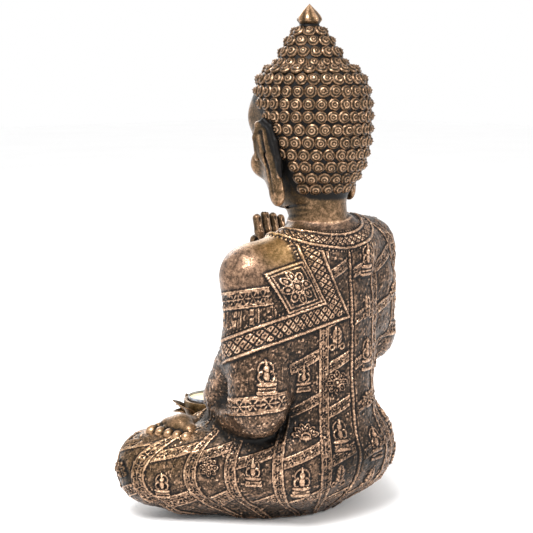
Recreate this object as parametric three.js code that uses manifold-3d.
// Seated figure with a tealight: a hollow cast-resin statue, the kind sold for a shelf or a garden table.
// The body, the head, the crown bud, the raised hand and the lotus cup are separate castings. They are
// pegged together, a board closes the body from below, and four felt pads carry it. The tealight
// lifts out of the lotus cup.
//
// Units are millimetres. The figure faces -Y, its left side is +X and +Z is up.

import * as THREE from "three";
import { mergeVertices } from "three/addons/utils/BufferGeometryUtils.js";
import Module from "manifold-3d";

const wasm = await Module();
wasm.setup();

// ---------------------------------------------------------------- driving dimensions

// Seat and legs.
const kneeHalfSpan = 99; // middle of the figure to the centre of a knee
const kneeForward = 82; // spine to the centre of a knee
const kneeRadius = 30;
const hipHalfSpan = 31;
const hipRadius = 39;
const seatHalfWidth = 62; // the flat footprint between the legs
const seatHalfDepth = 44;
const seatCentreY = -40;
const ankleRadius = 19;

// Torso. Heights are above the felt pads' underside.
const waistHeight = 96;
const chestHeight = 160;
const shoulderHeight = 197;
const shoulderLift = 12; // the side of the raised hand stands this much higher
const neckHeight = 236; // joint between the body and the head
const waistHalfWidth = 50;
const waistHalfDepth = 39;
const chestHalfWidth = 58;
const chestHalfDepth = 39;
const shoulderHalfSpan = 62.5;
const shoulderRadius = 24;
const shoulderY = -8;
const napeRadius = 32; // muscles between the neck and the shoulders
const neckRadius = 23;

// Arms.
const elbowRadius = 24;
const leftElbowHeight = 95;
const rightElbowHeight = 139;
const raisedWristHeight = 184;
const wristRadius = 13;
const handLength = 51; // wrist to fingertips
const fingerRadius = 4.4;
const fingerCount = 4;
const fingerPitch = 7.5; // between the middles of two fingers

// The foot that lies on the left thigh, sole up.
const heelRadius = 13;
const soleRadius = 11;
const toeCount = 5;
const toePitch = 7.5;
const bigToeRadius = 5.6;
const littleToeRadius = 4;

// Head.
const headHeight = 122; // neck joint to the top of the hair
const headHalfWidth = 44;
const headHalfDepth = 49.5;
const headY = -6; // the head is carried slightly forwards
const earTop = 0.65; // as a share of the head's height
const earLength = 67.5;
const earThickness = 7;

// Walls, joints and fits.
const wall = 8; // resin wall of the hollow castings
const castGap = 0.4; // clearance between pieces that are glued together
const padThickness = 1.5;
const padRadius = 6;
const boardThickness = 4;
const boardLedge = 5; // width of the step that the closing board rests on
const ventRadius = 5;
const spigotRadius = 16; // neck of the head, which plugs into the body
const spigotLength = 14;
const budRadius = 9.5;
const budHeight = 17;
const budPegRadius = 3;
const budPegLength = 10;
const pinRadius = 1.6; // steel pin in the raised hand
const pinLength = 30;

// Lotus cup and tealight.
const tealightRadius = 19;
const tealightHeight = 15;
const canWall = 0.5;
const cupWall = 3;
const cupFloor = 4;
const tealightGap = 0.8; // slip fit of the tealight in the cup
const petalCount = 8;
const petalLength = 13;
const petalThickness = 3.2;
const innerPetalLean = 34; // degrees outwards from upright
const outerPetalLean = 62;
const cupPegRadius = 3;
const cupPegLength = 5;
const wickRadius = 0.8;
const wickStandout = 5;
const waxDip = 2.5; // rim of the can to the wax
const tabRadius = 6.2;
const tabThickness = 0.4;

const farAway = 300; // past the statue in every direction

// How finely round shapes are divided.
const coarse = 6;
const medium = 10;
const fine = 18;
const veryFine = 32;

// ---------------------------------------------------------------- solids

const Y_AXIS = new THREE.Vector3(0, 1, 0);
const degrees = THREE.MathUtils.degToRad;

function at(x, y, z) {
  return new THREE.Vector3(x, y, z);
}

// A closed geometry as a solid that can be joined and cut.
function solid(geometry) {
  const bare = geometry.clone();
  bare.deleteAttribute("normal");
  bare.deleteAttribute("uv");
  const merged = mergeVertices(bare, 1e-4);
  return new wasm.Manifold(
    new wasm.Mesh({
      numProp: 3,
      vertProperties: new Float32Array(merged.attributes.position.array),
      triVerts: new Uint32Array(merged.index.array),
    }),
  );
}

function geometryOf(made) {
  const mesh = made.getMesh();
  const stride = mesh.numProp;
  const positions = new Float32Array(mesh.numVert * 3);
  for (let i = 0; i < mesh.numVert; i++) {
    positions.set(mesh.vertProperties.subarray(i * stride, i * stride + 3), i * 3);
  }
  const geometry = new THREE.BufferGeometry();
  geometry.setAttribute("position", new THREE.BufferAttribute(positions, 3));
  geometry.setIndex(new THREE.BufferAttribute(new Uint32Array(mesh.triVerts), 1));
  const flat = geometry.toNonIndexed();
  flat.computeVertexNormals();
  return flat;
}

function joined(solids) {
  return solids.reduce((sum, next) => sum.add(next));
}

function cutBy(body, tools) {
  return tools.reduce((rest, tool) => rest.subtract(tool), body);
}

// A straight limb with round ends: two spheres and the cone that touches both.
function limb(from, to, fromRadius, toRadius, sides = medium) {
  const reach = from.distanceTo(to);
  const lean = Math.asin(THREE.MathUtils.clamp((fromRadius - toRadius) / reach, -0.9, 0.9));
  const arcSteps = Math.max(4, Math.round(sides / 4));
  const profile = [];
  for (let i = 0; i <= arcSteps; i++) {
    const turn = THREE.MathUtils.lerp(-Math.PI / 2, lean, i / arcSteps);
    profile.push(new THREE.Vector2(Math.cos(turn) * fromRadius, Math.sin(turn) * fromRadius));
  }
  for (let i = 0; i <= arcSteps; i++) {
    const turn = THREE.MathUtils.lerp(lean, Math.PI / 2, i / arcSteps);
    profile.push(new THREE.Vector2(Math.cos(turn) * toRadius, reach + Math.sin(turn) * toRadius));
  }
  profile[0].x = 0;
  profile[profile.length - 1].x = 0;
  const geometry = new THREE.LatheGeometry(profile, sides);
  const direction = to.clone().sub(from).normalize();
  geometry.applyQuaternion(new THREE.Quaternion().setFromUnitVectors(Y_AXIS, direction));
  geometry.translate(from.x, from.y, from.z);
  return solid(geometry);
}

// An ellipsoid, turned about X by tiltX and then about Y by tiltY, in degrees.
function ellipsoid(centre, halfX, halfY, halfZ, { sides = medium, tiltX = 0, tiltY = 0 } = {}) {
  const geometry = new THREE.SphereGeometry(1, sides, Math.round(sides * 0.6));
  geometry.rotateX(Math.PI / 2);
  geometry.scale(halfX, halfY, halfZ);
  geometry.rotateX(degrees(tiltX));
  geometry.rotateY(degrees(tiltY));
  geometry.translate(centre.x, centre.y, centre.z);
  return solid(geometry);
}

// A lathe shape whose stations are ellipses: each is [height, half width, half depth, centre Y].
function ovalStack(stations, sides = fine, rows = 24) {
  const heights = stations.map(([z]) => z);
  const width = new THREE.SplineCurve(stations.map(([z, x]) => new THREE.Vector2(z, x)));
  const depth = new THREE.SplineCurve(stations.map(([z, , y]) => new THREE.Vector2(z, y)));
  const lean = new THREE.SplineCurve(stations.map(([z, , , y]) => new THREE.Vector2(z, y)));
  const low = heights[0];
  const high = heights[heights.length - 1];
  const column = new THREE.CylinderGeometry(1, 1, 1, sides, rows);
  column.rotateX(Math.PI / 2);
  const points = column.attributes.position;
  for (let i = 0; i < points.count; i++) {
    const share = points.getZ(i) + 0.5;
    const z = width.getPoint(share).x;
    points.setXYZ(
      i,
      points.getX(i) * width.getPoint(share).y,
      points.getY(i) * depth.getPoint(share).y + lean.getPoint(share).y,
      THREE.MathUtils.clamp(z, low, high),
    );
  }
  return solid(column);
}

function cylinder(centre, radius, height, sides = fine) {
  const geometry = new THREE.CylinderGeometry(radius, radius, height, sides);
  geometry.rotateX(Math.PI / 2);
  geometry.translate(centre.x, centre.y, centre.z);
  return solid(geometry);
}

// A lathe about a vertical axis through the centre: profile points are [radius, height].
function turned(profile, centre, sides = veryFine) {
  const geometry = new THREE.LatheGeometry(
    profile.map(([r, z]) => new THREE.Vector2(r, z)),
    sides,
  );
  geometry.rotateX(Math.PI / 2);
  geometry.translate(centre.x, centre.y, centre.z);
  return solid(geometry);
}

function block(low, high) {
  const size = high.clone().sub(low);
  const middle = high.clone().add(low).multiplyScalar(0.5);
  const geometry = new THREE.BoxGeometry(size.x, size.y, size.z);
  geometry.translate(middle.x, middle.y, middle.z);
  return solid(geometry);
}

// ---------------------------------------------------------------- pose of the figure

const LEFT = 1;
const RIGHT = -1;
const ground = padThickness; // underside of the body casting

const hip = (side) => at(side * hipHalfSpan, 3, hipRadius + 12);
const knee = (side) => at(side * kneeHalfSpan, -kneeForward, kneeRadius + 9);
const shoulder = (side) =>
  at(side * shoulderHalfSpan, shoulderY, shoulderHeight + (side === RIGHT ? shoulderLift : 0));

const leftElbow = at(shoulderHalfSpan + 8, 8, leftElbowHeight);
const leftWrist = at(kneeHalfSpan * 0.5, -kneeForward - 1, kneeRadius * 2);
const leftPalm = at(leftWrist.x - 24, leftWrist.y - 12, leftWrist.z - 5);
const rightElbow = at(-shoulderHalfSpan - 1, shoulderY + 2, rightElbowHeight);
const rightWrist = at(-28, -kneeForward + 10, raisedWristHeight);

// The shin of the right leg crosses over the left one, and its foot lies on the left thigh, sole up.
const leftAnkle = at(-kneeHalfSpan * 0.4, -kneeForward - 15, ankleRadius + 1);
const rightAnkle = at(kneeHalfSpan * 0.16, -kneeForward - 6, ankleRadius + 22);
const footBall = at(kneeHalfSpan - 13, -kneeForward + 16, kneeRadius * 2 + 12);

// The board leaves a flat ring of the seat around it, wide enough for the pads.
const ringWidth = 2 * padRadius + 2;
const boardHalfWidth = seatHalfWidth - ringWidth;
const boardHalfDepth = seatHalfDepth - ringWidth;

const neckAxisY = 0;
const budAxisY = headY - 4;
const cupCentre = at(leftPalm.x + 2, leftPalm.y - 2, leftPalm.z + 9); // underside of the lotus cup

const cupBore = tealightRadius + tealightGap;
const cupOutside = cupBore + cupWall;
const cupDepth = tealightHeight - 3;
const cupFloorTop = cupCentre.z + castGap + cupFloor;
const petalReach = cupOutside + petalLength * 1.1; // tips of the outer petals
const canLow = cupFloorTop + castGap;
const canAxis = at(cupCentre.x, cupCentre.y, 0);

// ---------------------------------------------------------------- body casting

function torso() {
  return ovalStack([
    [ground, waistHalfWidth - 20, waistHalfDepth - 19, -16],
    [26, waistHalfWidth - 2, waistHalfDepth - 5, 2],
    [52, waistHalfWidth + 10, waistHalfDepth + 6, 3],
    [78, waistHalfWidth + 3, waistHalfDepth + 1, 2],
    [waistHeight, waistHalfWidth, waistHalfDepth, 1],
    [(waistHeight + chestHeight) / 2, chestHalfWidth - 4, chestHalfDepth - 1, 0],
    [chestHeight, chestHalfWidth, chestHalfDepth, -1],
    [shoulderHeight - 8, chestHalfWidth, chestHalfDepth - 2, -1],
    [shoulderHeight + 12, chestHalfWidth - 14, chestHalfDepth - 8, 0],
    [neckHeight - 12, neckRadius + 5, neckRadius + 4, 1],
    [neckHeight, neckRadius + 1, neckRadius + 1, neckAxisY],
  ]);
}

// The slope from the neck out to each shoulder.
function shoulderGirdle() {
  const slopes = [LEFT, RIGHT].map((side) => {
    const nape = at(side * 16, 4, neckHeight - napeRadius + (side === RIGHT ? shoulderLift / 2 : 0));
    return limb(nape, shoulder(side), napeRadius, shoulderRadius);
  });
  return joined(slopes);
}

function seat() {
  return ovalStack(
    [
      [ground, seatHalfWidth, seatHalfDepth, seatCentreY],
      [20, seatHalfWidth + 8, seatHalfDepth + 5, seatCentreY],
      [44, seatHalfWidth - 2, seatHalfDepth, seatCentreY],
      [54, seatHalfWidth - 30, seatHalfDepth - 26, seatCentreY],
    ],
    fine,
    8,
  );
}

function legs() {
  const left = [
    limb(hip(LEFT), knee(LEFT), hipRadius, kneeRadius, fine),
    limb(knee(LEFT), leftAnkle, kneeRadius - 1, ankleRadius),
  ];
  const right = [
    limb(hip(RIGHT), knee(RIGHT), hipRadius, kneeRadius, fine),
    limb(knee(RIGHT), rightAnkle, kneeRadius, ankleRadius),
  ];
  return joined([...left, ...right, robeUnder(LEFT), robeUnder(RIGHT)]);
}

// The robe under a thigh, which reaches the ground short of the knee.
function robeUnder(side) {
  const radius = kneeRadius - 5;
  const near = at(side * (hipHalfSpan + 2), -16, radius + 1);
  const far = knee(side).clone().lerp(hip(side), 0.2);
  far.z = radius + 2;
  return limb(near, far, radius, radius);
}

// The sole faces up; the five toes point out over the left thigh, the big toe foremost.
function rightFoot() {
  const heel = rightAnkle.clone().add(at(-4, 2, 4));
  const parts = [limb(heel, footBall, heelRadius, soleRadius)];
  for (let i = 0; i < toeCount; i++) {
    const share = i / (toeCount - 1); // 0 at the big toe, 1 at the little one
    const radius = THREE.MathUtils.lerp(bigToeRadius, littleToeRadius, share);
    const root = footBall.clone().add(at(8 - 6 * share, -14 + i * toePitch, -1));
    const tip = root.clone().add(at(9 - 2 * share, -1 + 2 * share, -3));
    parts.push(limb(root, tip, radius, radius, coarse));
  }
  const inner = footBall.clone().add(at(4, -10, -1));
  const outer = footBall.clone().add(at(2, 12, -1));
  parts.push(limb(inner, outer, soleRadius - 3, soleRadius - 4));
  return joined(parts);
}

function arms() {
  const upperLeft = limb(shoulder(LEFT), leftElbow, shoulderRadius, elbowRadius, fine);
  const lowerLeft = limb(leftElbow, leftWrist, elbowRadius - 3, wristRadius, medium);
  const sleeve = ellipsoid(at(shoulderHalfSpan - 1, -34, 114), 18, 27, 38, { tiltX: -12 });
  const upperRight = limb(shoulder(RIGHT), rightElbow, shoulderRadius, elbowRadius, fine);
  const lowerRight = limb(rightElbow, rightWrist, elbowRadius - 3, wristRadius, medium);
  const rightSleeve = ellipsoid(at(-shoulderHalfSpan + 7, -20, rightElbowHeight + 12), 18, 26, 27);
  return joined([upperLeft, lowerLeft, sleeve, upperRight, lowerRight, rightSleeve]);
}

// The left hand lies palm up in the lap and cups the lotus.
function leftHand() {
  const parts = [
    limb(leftWrist, leftPalm, wristRadius - 1, wristRadius - 3),
    ellipsoid(leftPalm.clone().add(at(-4, -1, 0)), 21, 15, 8),
  ];
  for (let i = 0; i < fingerCount; i++) {
    const root = leftPalm.clone().add(at(-18, -11 + fingerPitch * i, 0));
    const knuckle = root.clone().add(at(-15, 0.5 * i, 0));
    const tip = knuckle.clone().add(at(-11 + i, 0, 6));
    parts.push(limb(root, knuckle, fingerRadius, fingerRadius - 0.4, coarse));
    parts.push(limb(knuckle, tip, fingerRadius - 0.4, fingerRadius - 0.9, coarse));
  }
  const thumbRoot = leftPalm.clone().add(at(8, -13, 2));
  const thumbTip = thumbRoot.clone().add(at(-24, -7, 5));
  parts.push(limb(thumbRoot, thumbTip, fingerRadius + 1.6, fingerRadius - 0.2, coarse));
  return joined(parts);
}

// The robe fills the hollow between each upper arm and the back, further down on the left.
function robeFill(side) {
  const low = side === LEFT ? waistHeight + 18 : rightElbowHeight + 16;
  const top = at(side * (shoulderHalfSpan - 16), 2, shoulderHeight - 10);
  const bottom = at(side * (shoulderHalfSpan - 14), 2, low);
  return limb(top, bottom, shoulderRadius + 3, shoulderRadius - 1);
}

// The space inside the body casting, open below so that the board can close it.
function bodyHollow() {
  const trunk = ovalStack(
    [
      [ground - 1, boardHalfWidth - boardLedge, boardHalfDepth - boardLedge, seatCentreY],
      [30, waistHalfWidth, waistHalfDepth, seatCentreY / 2],
      [46, waistHalfWidth, waistHalfDepth - 2, seatCentreY / 4],
      [62, waistHalfWidth - 3, waistHalfDepth - wall + 1, 2],
      [waistHeight, waistHalfWidth - wall, waistHalfDepth - wall, 1],
      [chestHeight, chestHalfWidth - wall, chestHalfDepth - wall, -1],
      [shoulderHeight - 4, chestHalfWidth - wall - 3, chestHalfDepth - wall - 3, -1],
      [neckHeight - 20, spigotRadius - 3, spigotRadius - 3, neckAxisY],
    ],
    medium,
    14,
  );
  const thighs = [LEFT, RIGHT].map((side) => {
    const far = hip(side).lerp(knee(side), 0.75);
    return limb(hip(side), far, hipRadius - wall, kneeRadius - wall);
  });
  return joined([trunk, ...thighs]);
}

function boardOutline(clearance) {
  const outline = new THREE.Shape();
  const halfWidth = boardHalfWidth - clearance;
  const halfDepth = boardHalfDepth - clearance;
  outline.absellipse(0, seatCentreY, halfWidth, halfDepth, 0, 2 * Math.PI);
  return outline;
}

function boardSolid(clearance, low, high) {
  const geometry = new THREE.ExtrudeGeometry(boardOutline(clearance), {
    depth: high - low,
    bevelEnabled: false,
    curveSegments: coarse,
  });
  geometry.translate(0, 0, low);
  return solid(geometry);
}

function neckSocket() {
  return cylinder(
    at(0, neckAxisY, neckHeight - spigotLength / 2),
    spigotRadius + castGap,
    spigotLength + 2 * castGap + 8,
  );
}

function bodyCasting() {
  const outside = joined([
    torso(),
    shoulderGirdle(),
    seat(),
    legs(),
    rightFoot(),
    arms(),
    robeFill(LEFT),
    robeFill(RIGHT),
    leftHand(),
  ]);
  const everythingBelow = block(at(-farAway, -farAway, -farAway), at(farAway, farAway, ground));
  const headSeat = cylinder(at(0, neckAxisY, neckHeight + 20), neckRadius + 3, 40);
  const cupSeat = turned(
    [
      [0, cupCentre.z - castGap],
      [cupOutside - 4, cupCentre.z - castGap],
      [petalReach + 1, cupCentre.z + petalReach * 0.22],
      [petalReach + 1, cupCentre.z + cupFloor + 2 * tealightHeight],
      [0, cupCentre.z + cupFloor + 2 * tealightHeight],
    ],
    canAxis,
    fine,
  );
  const cupPegHole = cylinder(
    at(cupCentre.x, cupCentre.y, cupCentre.z - cupPegLength / 2),
    cupPegRadius + castGap,
    cupPegLength + 4 * castGap,
    coarse,
  );
  return cutBy(outside, [
    everythingBelow,
    headSeat,
    bodyHollow(),
    boardSolid(0, ground - 1, ground + boardThickness + castGap),
    neckSocket(),
    cupSeat,
    cupPegHole,
    wristCut(0),
    pinSolid(castGap),
  ]);
}

// ---------------------------------------------------------------- raised hand

// The hand is upright, palm forward, and joins the sleeve at the wrist.
const wristDirection = rightWrist.clone().sub(rightElbow).normalize();

// Everything beyond the wrist joint, as a block turned along the forearm.
function wristCut(clearance) {
  const geometry = new THREE.BoxGeometry(60, 80, 60);
  geometry.translate(0, 40 + clearance, 0);
  geometry.applyQuaternion(new THREE.Quaternion().setFromUnitVectors(Y_AXIS, wristDirection));
  geometry.translate(rightWrist.x, rightWrist.y, rightWrist.z);
  return solid(geometry);
}

function pinSolid(clearance) {
  const geometry = new THREE.CylinderGeometry(
    pinRadius + clearance,
    pinRadius + clearance,
    pinLength + 2 * clearance,
    coarse,
  );
  geometry.applyQuaternion(new THREE.Quaternion().setFromUnitVectors(Y_AXIS, wristDirection));
  geometry.translate(rightWrist.x, rightWrist.y, rightWrist.z);
  return solid(geometry);
}

function raisedHand() {
  const palmLength = handLength * 0.46;
  const palmBase = rightWrist.clone().add(at(2, -4, 3));
  const palmTop = palmBase.clone().add(at(1, -3, palmLength));
  const stump = rightWrist.clone().addScaledVector(wristDirection, -4);
  const parts = [
    limb(stump, palmBase, wristRadius - 1, wristRadius - 2),
    ellipsoid(palmBase.clone().lerp(palmTop, 0.5), 2 * fingerPitch, fingerRadius * 1.9, palmLength * 0.72),
  ];
  for (let i = 0; i < fingerCount; i++) {
    const spread = i - (fingerCount - 1) / 2;
    const length = handLength - palmLength - 2.2 * Math.abs(spread - 0.5);
    const root = palmTop.clone().add(at(spread * fingerPitch, 0, -5));
    const bend = root.clone().add(at(spread * 1.2, -1, length * 0.55));
    const tip = bend.clone().add(at(spread * 0.4, -2.5, length * 0.45));
    parts.push(limb(root, bend, fingerRadius, fingerRadius - 0.4, coarse));
    parts.push(limb(bend, tip, fingerRadius - 0.4, fingerRadius - 1, coarse));
  }
  const thumbRoot = palmBase.clone().add(at(9, -3, 3));
  const thumbBend = thumbRoot.clone().add(at(6, -4, 11));
  const thumbTip = thumbBend.clone().add(at(-2, -3, 11));
  parts.push(limb(thumbRoot, thumbBend, fingerRadius + 2, fingerRadius + 0.4, coarse));
  parts.push(limb(thumbBend, thumbTip, fingerRadius + 0.4, fingerRadius - 0.6, coarse));
  const beyondWrist = wristCut(castGap);
  return joined(parts).intersect(beyondWrist).subtract(pinSolid(castGap));
}

// ---------------------------------------------------------------- head casting

// Heights inside the head are shares of its own height above the neck joint.
const headZ = (share) => neckHeight + castGap + share * headHeight;
const crownTop = headZ(1.24);

function hairShell() {
  const w = headHalfWidth;
  const d = headHalfDepth;
  return ovalStack(
    [
      [headZ(0.12), w * 0.54, d * 0.46, headY + 3],
      [headZ(0.18), w * 0.65, d * 0.58, headY + 2],
      [headZ(0.34), w * 0.86, d * 0.83, headY + 2],
      [headZ(0.52), w * 0.97, d * 0.97, headY + 1],
      [headZ(0.7), w, d, headY],
      [headZ(0.84), w * 0.97, d * 0.97, headY - 1],
      [headZ(0.92), w * 0.9, d * 0.9, headY - 2],
      [headZ(0.98), w * 0.74, d * 0.72, headY - 2],
      [headZ(1.0), w * 0.6, d * 0.56, headY - 2],
    ],
    fine,
    18,
  );
}

// The raised crown of the hair, which carries the bud.
function crown() {
  return ovalStack(
    [
      [headZ(0.94), headHalfWidth * 0.72, headHalfDepth * 0.66, headY - 2],
      [headZ(1.02), headHalfWidth * 0.65, headHalfDepth * 0.59, headY - 3],
      [headZ(1.1), headHalfWidth * 0.54, headHalfDepth * 0.48, headY - 3],
      [headZ(1.17), headHalfWidth * 0.42, headHalfDepth * 0.37, budAxisY],
      [crownTop, budRadius * 1.2, budRadius * 1.2, budAxisY],
    ],
    fine,
    6,
  );
}

function face() {
  const w = headHalfWidth;
  const front = headY - headHalfDepth; // where the forehead is
  const cheeks = ellipsoid(at(0, headY - 9, headZ(0.42)), w * 0.84, 36, headHeight * 0.34, {
    sides: fine,
  });
  const chin = ellipsoid(at(0, front + 20, headZ(0.14)), 15, 12, 10);
  const nose = limb(at(0, front + 4, headZ(0.5)), at(0, front + 0.5, headZ(0.36)), 3.2, 5.2, coarse);
  const mouth = ellipsoid(at(0, front + 6, headZ(0.25)), 11, 5, 4.5, { sides: coarse });
  const jaw = ellipsoid(at(0, headY - 7, headZ(0.2)), w * 0.66, 28, 19);
  return joined([cheeks, chin, nose, mouth, jaw]);
}

function ear(side) {
  const top = headZ(earTop);
  const upperHalf = earLength * 0.25;
  const lobeHalf = earLength * 0.39;
  const upper = ellipsoid(
    at(side * (headHalfWidth - 0.5), headY - 9, top - upperHalf),
    earThickness / 2,
    10,
    upperHalf,
    { tiltX: 12 },
  );
  const lobe = ellipsoid(
    at(side * (headHalfWidth - 3), headY - 2, top - earLength + lobeHalf),
    earThickness / 2,
    6,
    lobeHalf,
    { tiltX: 10, tiltY: side * 4 },
  );
  return upper.add(lobe);
}

function neck() {
  return ovalStack(
    [
      [neckHeight + castGap, neckRadius + 1, neckRadius + 1, neckAxisY],
      [headZ(0.08), neckRadius - 0.5, neckRadius, neckAxisY],
      [headZ(0.25), neckRadius, neckRadius, neckAxisY - 2],
    ],
    fine,
    4,
  );
}

function headHollow() {
  const inside = ellipsoid(
    at(0, headY, headZ(0.56)),
    headHalfWidth - wall,
    headHalfDepth - wall - 3,
    headHeight * 0.36,
  );
  const bore = cylinder(at(0, neckAxisY, headZ(0.1)), spigotRadius - 5, headHeight * 0.6, medium);
  return inside.add(bore);
}

function headCasting() {
  const spigot = cylinder(
    at(0, neckAxisY, neckHeight - spigotLength / 2 + 2),
    spigotRadius,
    spigotLength + 4,
    medium,
  );
  const pegHole = cylinder(
    at(0, budAxisY, crownTop - budPegLength / 2),
    budPegRadius + castGap,
    budPegLength + 2 * castGap,
    coarse,
  );
  const outside = joined([hairShell(), crown(), face(), ear(LEFT), ear(RIGHT), neck(), spigot]);
  return cutBy(outside, [headHollow(), pegHole]);
}

function crownBud() {
  const low = crownTop + castGap;
  const profile = [
    [0, low],
    [budRadius * 0.72, low],
    [budRadius, low + budHeight * 0.22],
    [budRadius * 0.93, low + budHeight * 0.38],
    [budRadius * 0.66, low + budHeight * 0.6],
    [budRadius * 0.3, low + budHeight * 0.85],
    [0, low + budHeight],
  ];
  const bud = turned(profile, at(0, budAxisY, 0), fine);
  const peg = cylinder(
    at(0, budAxisY, low - budPegLength / 2 + 1),
    budPegRadius,
    budPegLength,
    coarse,
  );
  return bud.add(peg);
}

// ---------------------------------------------------------------- closing board and pads

function closingBoard() {
  const vent = cylinder(at(0, seatCentreY, ground), ventRadius, 4 * boardThickness, medium);
  return boardSolid(castGap, ground, ground + boardThickness).subtract(vent);
}

// The pads stand on the flat ring around the board, two in front and two behind.
const padNames = ["left_back_pad", "right_back_pad", "right_front_pad", "left_front_pad"];
const padTurn = 40; // degrees from the line across the figure to each pad
const padRingX = seatHalfWidth - ringWidth / 2;
const padRingY = seatHalfDepth - ringWidth / 2;

function feltPad(index) {
  const turn = degrees(padTurn + (index % 2) * (180 - 2 * padTurn) + Math.floor(index / 2) * 180);
  const x = padRingX * Math.cos(turn);
  const y = seatCentreY + padRingY * Math.sin(turn);
  return cylinder(at(x, y, (padThickness - castGap) / 2), padRadius, padThickness - castGap, medium);
}

// ---------------------------------------------------------------- lotus cup and tealight

function petal(lean, turn, radius, lift) {
  const geometry = new THREE.SphereGeometry(1, coarse, 8);
  geometry.scale(petalThickness / 2, petalLength * 0.46, petalLength);
  geometry.translate(0, 0, petalLength * 0.62);
  geometry.rotateY(degrees(lean));
  geometry.translate(radius, 0, lift);
  geometry.rotateZ(turn);
  geometry.translate(cupCentre.x, cupCentre.y, cupCentre.z + castGap);
  return solid(geometry);
}

function lotusCup() {
  const low = cupCentre.z + castGap;
  const bowl = turned(
    [
      [0, low],
      [cupOutside - 7, low],
      [cupOutside, low + 6],
      [cupOutside, cupFloorTop + cupDepth],
      [cupBore, cupFloorTop + cupDepth],
      [cupBore, cupFloorTop],
      [0, cupFloorTop],
    ],
    at(cupCentre.x, cupCentre.y, 0),
  );
  const parts = [bowl];
  for (let i = 0; i < petalCount; i++) {
    const turn = (i / petalCount) * 2 * Math.PI;
    const halfStep = Math.PI / petalCount;
    parts.push(petal(innerPetalLean, turn, cupBore + 0.5, 2.5));
    parts.push(petal(outerPetalLean, turn + halfStep, cupOutside - 6, 2));
  }
  const peg = cylinder(
    at(cupCentre.x, cupCentre.y, low - cupPegLength / 2 + 1),
    cupPegRadius,
    cupPegLength + 1,
    coarse,
  );
  parts.push(peg);
  const clearWay = cylinder(
    at(cupCentre.x, cupCentre.y, cupFloorTop + 40),
    cupBore,
    80,
    veryFine,
  );
  const underneath = block(at(-farAway, -farAway, low - farAway), at(farAway, farAway, low));
  const trimmed = joined(parts).subtract(clearWay);
  return trimmed.subtract(underneath).add(peg);
}

function tealightCan() {
  const inner = tealightRadius - canWall;
  return turned(
    [
      [0, canLow],
      [tealightRadius, canLow],
      [tealightRadius, canLow + tealightHeight],
      [inner, canLow + tealightHeight],
      [inner, canLow + canWall],
      [0, canLow + canWall],
    ],
    canAxis,
  );
}

const waxLow = canLow + canWall + castGap;
const waxHigh = canLow + tealightHeight - waxDip;
const tabHigh = waxLow + tabThickness;
const collarRadius = wickRadius + 1;
const collarHeight = 3;

function wax() {
  const outer = tealightRadius - canWall - castGap;
  return turned(
    [
      [tabRadius + castGap, waxLow],
      [outer, waxLow],
      [outer, waxHigh + 0.6],
      [outer - 3, waxHigh],
      [wickRadius + castGap, waxHigh],
      [wickRadius + castGap, tabHigh + collarHeight + castGap],
      [collarRadius + castGap, tabHigh + collarHeight + castGap],
      [collarRadius + castGap, tabHigh + castGap],
      [tabRadius + castGap, tabHigh + castGap],
      [tabRadius + castGap, waxLow],
    ],
    canAxis,
  );
}

// Tin tab that holds the wick upright: a disc with a crimped collar.
function wickTab() {
  const bore = wickRadius + castGap;
  return turned(
    [
      [0, waxLow],
      [tabRadius, waxLow],
      [tabRadius, tabHigh],
      [collarRadius + castGap / 2, tabHigh],
      [collarRadius + castGap / 2, tabHigh + collarHeight],
      [bore, tabHigh + collarHeight],
      [bore, tabHigh],
      [0, tabHigh],
    ],
    canAxis,
    fine,
  );
}

function wick() {
  return turned(
    [
      [0, tabHigh + castGap],
      [wickRadius, tabHigh + castGap],
      [wickRadius, waxHigh + wickStandout],
      [0, waxHigh + wickStandout],
    ],
    canAxis,
    coarse,
  );
}

// ---------------------------------------------------------------- assembly

const bronzePaint = new THREE.MeshStandardMaterial({ color: 0x8a6d4e, roughness: 0.45, metalness: 0.7 });
const woodBoard = new THREE.MeshStandardMaterial({ color: 0x8b6b4a, roughness: 0.85, metalness: 0 });
const felt = new THREE.MeshStandardMaterial({ color: 0x20201f, roughness: 1, metalness: 0 });
const steel = new THREE.MeshStandardMaterial({ color: 0xb9bcc0, roughness: 0.3, metalness: 1 });
const aluminium = new THREE.MeshStandardMaterial({ color: 0xc9ccd0, roughness: 0.25, metalness: 1 });
const creamWax = new THREE.MeshStandardMaterial({ color: 0xf6ecd0, roughness: 0.5, metalness: 0 });
const cotton = new THREE.MeshStandardMaterial({ color: 0xe9e4d6, roughness: 1, metalness: 0 });

function meshOf(name, made, material) {
  const mesh = new THREE.Mesh(geometryOf(made), material);
  mesh.name = name;
  return mesh;
}

const statue = new THREE.Group();
statue.add(
  meshOf("body_casting", bodyCasting(), bronzePaint),
  meshOf("head_casting", headCasting(), bronzePaint),
  meshOf("crown_bud", crownBud(), bronzePaint),
  meshOf("raised_hand", raisedHand(), bronzePaint),
  meshOf("hand_pin", pinSolid(0), steel),
  meshOf("lotus_cup", lotusCup(), bronzePaint),
  meshOf("closing_board", closingBoard(), woodBoard),
);
padNames.forEach((name, index) => {
  statue.add(meshOf(name, feltPad(index), felt));
});

const tealight = new THREE.Group();
tealight.add(
  meshOf("tealight_can", tealightCan(), aluminium),
  meshOf("tealight_wax", wax(), creamWax),
  meshOf("wick_tab", wickTab(), steel),
  meshOf("wick", wick(), cotton),
);
statue.add(tealight);

// The origin is the middle of the bounding box, on the plane the statue stands on.
const bounds = new THREE.Box3().setFromObject(statue);
statue.position.set(-(bounds.min.x + bounds.max.x) / 2, -(bounds.min.y + bounds.max.y) / 2, -bounds.min.z);

export default statue;
